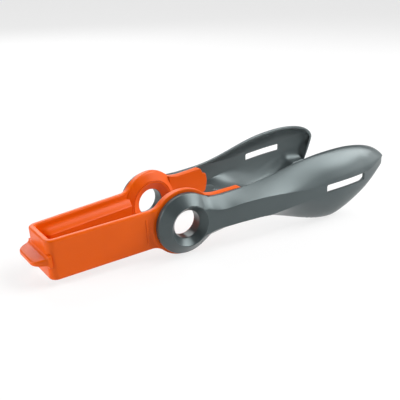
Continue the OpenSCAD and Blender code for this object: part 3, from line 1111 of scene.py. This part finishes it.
    def wall_and_lip(self, height: Array) -> tuple[Array, Array]:
        """Thickness of the wall and radius of its lip, less where a section is low."""
        wall = np.minimum(self.shell_t, self.most_wall * height)
        return wall, np.minimum(self.lip_r, self.lip_share * wall)

    def web_and_side(
        self, u: Array, upper: bool, height: Array, top: Array, foot: Array, web: Array,
        step: Reals = 0.0,
    ) -> tuple[Array, Array]:
        """Carry one face of the wall from the web's middle over the shoulder.

        On the shoulder at turn t, height goes from the flat web to the top by a power of sin t,
        and the outboard place falls from the web and step to the foot by the same power of cos t.

        Args:
            u: Distance along the head.
            upper: Whether this is the half above the web.
            height: Height of the rim.
            top: Height at the shoulder's end.
            foot: Outboard place at the shoulder's end.
            web: Outboard place of the web.
            step: Depth of the step above the web.

        Returns:
            Heights and outboard places, stations by points.
        """
        flat = np.minimum(self.web_flat(u), self.most_flat * height)
        power = self.shoulder(u, upper)
        web_z = self.WEB * (self.slot_edge(u, flat) - self.slot_ease * (flat > self.least_flat))
        side_z = mix(flat, top, np.sin(self.TURN) ** power)
        side_w = mix(foot, web + step, kept(np.cos(self.TURN)) ** power)
        return chain(web_z, side_z, axis=1), chain(web + 0.0 * web_z, side_w, axis=1)

    def outer_half(self, upper: bool) -> Array:
        """Outer face of one half of every section, from the web's middle to the rim.

        The lip is a quarter circle. By the ring, the rim is filleted into the ring's circle, the
        sections begin under the crest, and the face is filleted into the ring's cone.

        Args:
            upper: Whether this is the half above the web.

        Returns:
            Points of the half sections, stations by points by 3.
        """
        u = self.stations()[:, None]
        sign, keel, web = 1.0 if upper else -1.0, self.keel(u), self.web_out(u)
        root, clear, by_ring = self.ring_root, self.ring_clear, u < self.ring_clear
        along = kept((u - self.shell_start) / (clear - self.shell_start))
        edge_u = np.where(by_ring, mix(root, clear, along), u)
        ring_edge = np.clip((self.ring_r - self.ring_inset) ** 2 - edge_u ** 2, 0.0, None)
        circle = np.sqrt(ring_edge) - sign * keel
        height = self.half_height(u, upper) + self.flare(u, upper)
        height = np.where(by_ring, smooth_max(height, circle, self.ring_fillet), height)
        lip = self.wall_and_lip(height)[1]
        step = self.step(u) if upper else 0.0 * u
        foot = mix(lip, self.ring_edge_t, 1.0 - ease(u, *self.foot_fall))
        z, w = self.web_and_side(u, upper, height, height, foot, web, step)
        z = chain(z, height - lip + lip * np.cos(self.LIP), axis=1)
        w = chain(w, lip - lip * np.sin(self.LIP), axis=1)
        if not upper:
            z = z - (1.0 - ease(w, *self.tooth_wall)) * self.tooth(u)

        under_crest = (self.crest_r + self.crest_cover) ** 2 - z ** 2
        first_u = np.sqrt(np.clip(under_crest, root ** 2, None))
        out_u = np.where(by_ring, mix(first_u, clear, along), u)
        slope = (self.crest_h - self.ring_edge_t) / (self.ring_r - self.crest_r)
        cone = self.crest_h - slope * (np.hypot(out_u, z) - self.crest_r) - self.cone_sink
        fillet = self.cone_fillet + self.fillet_grow * ease(out_u, first_u, self.fillet_run)
        sunk = self.web_sink * (1 - ease(out_u, self.crest_r, self.sink_run))
        on_side = np.repeat([0.0, 1.0, 0.0], [len(self.WEB), len(self.TURN), len(self.LIP)])
        ceiling = self.web_out(out_u) - sunk + step * on_side
        met = np.minimum(ceiling, smooth_max(w, cone, fillet))
        near_ring = (1 - ease(u, *self.ring_fade)) * (w > lip)
        return stacked(out_u, mix(w, met, near_ring), keel + sign * z)

    def inner_half(self, upper: bool) -> Array:
        """Inner face of one half of every section, from the rim back to the web's middle.

        It lies a wall's thickness in, begins at the channel's end and stops short of the tip. The
        lip is a quarter circle.

        Args:
            upper: Whether this is the half above the web.

        Returns:
            Points of the half sections, stations by points by 3.
        """
        u = self.stations()[:, None]
        short = ease(u, self.reach - self.nose_wall, self.nose_wall)
        inner_u = np.maximum(u, self.channel_start) - self.shell_t * short
        read_u = mix(inner_u, u, short)
        height, web = self.half_height(read_u, upper), self.web_out(read_u)
        wall, lip = self.wall_and_lip(height)
        web = web - np.minimum(self.shell_t, web / 2)
        z, w = self.web_and_side(read_u, upper, height, height - wall, lip, web)
        first_z = height - wall + lip
        z = chain(first_z, first_z - lip * np.sin(self.LIP), z[:, ::-1], axis=1)
        w = chain(0.0 * lip, lip - lip * np.cos(self.LIP), w[:, ::-1], axis=1)
        sign = 1.0 if upper else -1.0
        return stacked(inner_u, w, self.keel(read_u) + sign * z)

    def shell(self) -> Patch:
        """Skin the sections, with the web left open along the slot and the slot walled through.

        The first section is put in front once more with its inner face folded onto its outer
        face, which closes that end.

        Returns:
            The closed shell.
        """
        u, web = self.stations(), len(self.WEB)
        upper = chain(self.outer_half(True), self.inner_half(True), axis=1)
        lower = chain(self.outer_half(False), self.inner_half(False), axis=1)
        halves, count = chain(upper, lower[:, ::-1], axis=1), upper.shape[1]
        first = int(np.argmin(np.abs(u - self.slot_at)))
        last = int(np.argmin(np.abs(u - self.slot_end)))
        along = np.arange(first, last + 1)

        def rim(across: Index) -> Array:
            """Edge of the slot in one face of the web, all the way round."""
            return chain(
                halves[along, across[0]], halves[last, across],
                halves[along[::-1], across[-1]], halves[first, across[::-1]],
            )

        outside = np.arange(web - 1, -web - 1, -1) % (2 * count)
        inside = np.arange(count - web, count + web)
        slot = Patch.grid(np.stack([rim(outside), rim(inside)]))

        column, row = np.arange(count), np.arange(len(u))
        outer = web + len(self.TURN) + len(self.LIP)
        fold = np.where(column < outer, column, np.minimum(column[::-1], outer - 1))
        both = chain(fold, (2 * count - 1 - fold)[::-1])
        on_web = np.zeros(2 * count, dtype=bool)
        for start in (0, count - web, count, 2 * count - web):
            on_web[start:start + web - 1] = True
        drop = ((row > first) & (row <= last))[:, None] & on_web
        return Patch.grid(chain(halves[:1, both], halves), drop).joined(slot)

    def ring(self) -> Patch:
        """Turn the ring's profile: hub, countersink, crest, cone and edge, each corner rounded."""
        profile = [
            (self.bore_r, self.hub_end), (self.bore_r, self.crest_h - self.sink_depth),
            (self.crest_r, self.crest_h), (self.ring_r, self.ring_edge_t),
            (self.ring_r, -self.ring_back), (self.hub_r, -self.ring_back),
            (self.hub_r, self.hub_end),
        ]
        return Patch.turned(rounded(profile, [0.4, 0.5, 0.5, 0.45, 0.4, 0.25, 0.3]))

    def lug(self) -> Patch:
        """Fill the stop lug, a wedge in the lower corner of the channel.

        Returns:
            The lug.
        """
        start, end = self.lug_start, self.lug_start + self.lug_len
        floor_z = float(self.lower_edge(np.array(start))) + self.shell_t / 2
        outline = [
            (start, floor_z), (end, floor_z), (end, floor_z + self.lug_end_h),
            (start, floor_z + self.lug_h),
        ]
        wedge = rounded(outline, [1.0, 1.0, 1.1, 1.4])
        return Patch.plate(wedge, -self.lug_in, self.lug_out, edge=0.35)

    def build(self) -> None:
        """Make the head as one piece, its slot and teeth eased by a small bevel."""
        name = f"{self.place.side.value}_head"
        patch = self.shell().joined(self.ring(), self.lug())
        piece = add_piece(f"{name}_scoop", patch, self.place, HEAD_GREY)
        bevel = piece.modifiers.new("eased_edges", "BEVEL")
        bevel.width = self.bevel_w * MM
        bevel.segments = 2
        bevel.limit_method = "ANGLE"
        bevel.angle_limit = math.radians(self.bevel_from)
        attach(piece, name)
        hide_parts(name)


@dataclass(frozen=True)
class Collar:
    """The collar pressed on a hub, which holds the head in its eye and covers the hub's end."""

    place: HingeFrame
    hub_r: float = 12.3
    outer_r: float = 15.03
    edge: float = 0.8
    top: float = -2.4
    end: float = -3.72
    mouth_r: float = 9.3
    mouth: float = -4.1
    lip: float = -6.7

    def build(self) -> None:
        """Turn the collar's dished section: a foot, a wall and a cone in to the bore."""
        profile = [
            (self.mouth_r, self.end), (self.hub_r, self.end), (self.hub_r, self.top),
            (self.outer_r, self.top), (self.outer_r, self.lip),
            (self.outer_r - self.edge, self.lip), (self.mouth_r, self.mouth),
        ]
        patch = Patch.turned(rounded(profile, [0.1, 0.1, 0.1, 0.2, 0.15, 0.35, 0.12]))
        name = self.place.side.value
        piece = add_piece(f"{name}_collar_ring", patch, self.place, HANDLE_ORANGE)
        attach(piece, f"{name}_head")
        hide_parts(f"{name}_collar")


@dataclass(frozen=True)
class Softbox:
    """A square soft lamp that faces the tongs: its direction, side, power and distance."""

    name: str
    way: Triple
    size: float
    power: float
    distance: float = 1.2

    def hang(self) -> None:
        """Hang the lamp in the scene."""
        data = bpy.data.lights.new(self.name, "AREA")
        data.shape = "SQUARE"
        data.size = self.size
        data.energy = self.power
        lamp = show(bpy.data.objects.new(self.name, data))
        way = Vector(self.way).normalized()
        lamp.location = way * self.distance
        lamp.rotation_euler = (-way).to_track_quat("-Z", "Y").to_euler()


@dataclass(frozen=True)
class Studio:
    """The pale floor, the soft light and the camera."""

    focal_px: float = 583.425
    frame_px: float = 400.0
    sensor: float = 36.0
    clip_start: float = 0.01
    azimuth: float = 35.825
    elevation: float = 21.931
    distance: float = 411.628
    target: Triple = (1.104, 14.958, 14.948)
    floor_r: float = 2.6
    wall_h: float = 1.3
    sweep_r: float = 0.9
    floor_drop: float = 0.1
    paper: float = 0.86
    glow: float = 0.78
    room: float = 0.05
    lamps: tuple[Softbox, ...] = (
        Softbox("right_front", (0.6, -0.3, 0.75), 0.9, 17.5),
        Softbox("back", (0.1, 0.8, 0.6), 0.8, 8.0),
        Softbox("left", (-0.92, 0.25, 0.3), 0.7, 10.0),
        Softbox("low_front", (0.72, -0.5, 0.45), 0.9, 5.0),
    )

    def camera(self) -> None:
        """Set the camera on a sphere about its target, looking in at the photograph's angle."""
        a, e = math.radians(self.azimuth), math.radians(self.elevation)
        view = Vector((math.sin(a) * math.cos(e), math.cos(a) * math.cos(e), -math.sin(e)))
        right = view.cross(Vector((0.0, 0.0, 1.0))).normalized()
        up = right.cross(view)
        data = bpy.data.cameras.new("camera")
        data.sensor_width = self.sensor
        data.sensor_fit = "HORIZONTAL"
        data.lens = self.focal_px / self.frame_px * self.sensor
        data.clip_start = self.clip_start
        camera = show(bpy.data.objects.new("camera", data))
        camera.matrix_world = Matrix.Translation(
            (Vector(self.target) - view * self.distance) * MM
        ) @ Matrix((right, up, -view)).transposed().to_4x4()
        bpy.context.scene.camera = camera

    def floor_paper(self) -> bpy.types.Material:
        """Make the floor's paper, which shows white to camera, glossy and transmission rays.

        Returns:
            The material: matt paper, mixed with a glow of strength 1 for those rays alone.
        """
        material = bpy.data.materials.new("pale_floor")
        material.use_nodes = True
        net = NodeNet(material.node_tree)
        net.tree.nodes.clear()
        path = net.add("ShaderNodeLightPath").outputs
        seen = path["Is Camera Ray"]
        for ray in ("Is Glossy Ray", "Is Transmission Ray"):
            either = net.add("ShaderNodeMath", {0: seen, 1: path[ray]}, operation="MAXIMUM")
            seen = either.outputs[0]
        share = net.add("ShaderNodeMath", {0: seen, 1: self.glow}, operation="MULTIPLY")
        matt = net.add("ShaderNodeBsdfDiffuse", {"Color": (*[self.paper] * 3, 1.0)})
        glow = net.add("ShaderNodeEmission", {"Color": (1.0, 1.0, 1.0, 1.0), "Strength": 1.0})
        mixed = net.add(
            "ShaderNodeMixShader",
            {0: share.outputs[0], 1: matt.outputs["BSDF"], 2: glow.outputs["Emission"]},
        )
        net.add("ShaderNodeOutputMaterial", {"Surface": mixed.outputs["Shader"]})
        return material

    def floor(self) -> None:
        """Lay the pale floor, a round sheet that sweeps up to a low wall.

        From the middle the sheet runs level, turns up by a quarter circle and ends upright.
        """
        turn = quarter_turn(13)
        reach = self.floor_r + self.sweep_r
        radius = np.array([0.0, *(self.floor_r + self.sweep_r * np.sin(turn)), reach])[:, None]
        height = np.array([0.0, *(self.sweep_r * (1.0 - np.cos(turn))), self.wall_h])[:, None]
        way = np.linspace(0.0, 2.0 * np.pi, 96, endpoint=False)
        sheet = Patch.grid(stacked(radius * np.cos(way), radius * np.sin(way), height))
        mesh = sheet.mesh("floor", MM)
        mesh.materials.append(self.floor_paper())
        floor = show(bpy.data.objects.new("floor", mesh))
        floor.location.z = -self.floor_drop * MM

    def sky(self) -> None:
        """Fill the room with even light."""
        world = bpy.data.worlds.new("studio")
        world.use_nodes = True
        net = NodeNet(world.node_tree)
        net.tree.nodes.clear()
        fill = net.add(
            "ShaderNodeBackground", {"Color": (1.0, 1.0, 1.0, 1.0), "Strength": self.room}
        )
        net.add("ShaderNodeOutputWorld", {"Surface": fill.outputs["Background"]})
        bpy.context.scene.world = world

    def build(self) -> None:
        """Set up the camera, the floor, the room light and the lamps."""
        self.camera()
        self.floor()
        self.sky()
        for lamp in self.lamps:
            lamp.hang()
        bpy.context.scene.view_settings.view_transform = "Standard"


def main() -> None:
    """Build the tongs piece by piece around the frame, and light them."""
    logging.basicConfig(level=logging.INFO, format="%(name)s: %(message)s")
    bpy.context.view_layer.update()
    near = HingeFrame.from_joints(Side.NEAR, frame["joints"])
    far = HingeFrame.from_joints(Side.FAR, frame["joints"])
    Handle(near, far).build()
    ScoopHead(near, Tip.SPOON, reach=168.7).build()
    ScoopHead(far, Tip.BLADE, reach=167.9).build()
    for place in (near, far):
        Collar(place).build()
    Studio().build()
    bpy.context.view_layer.update()


if __name__ == "__main__":
    main()
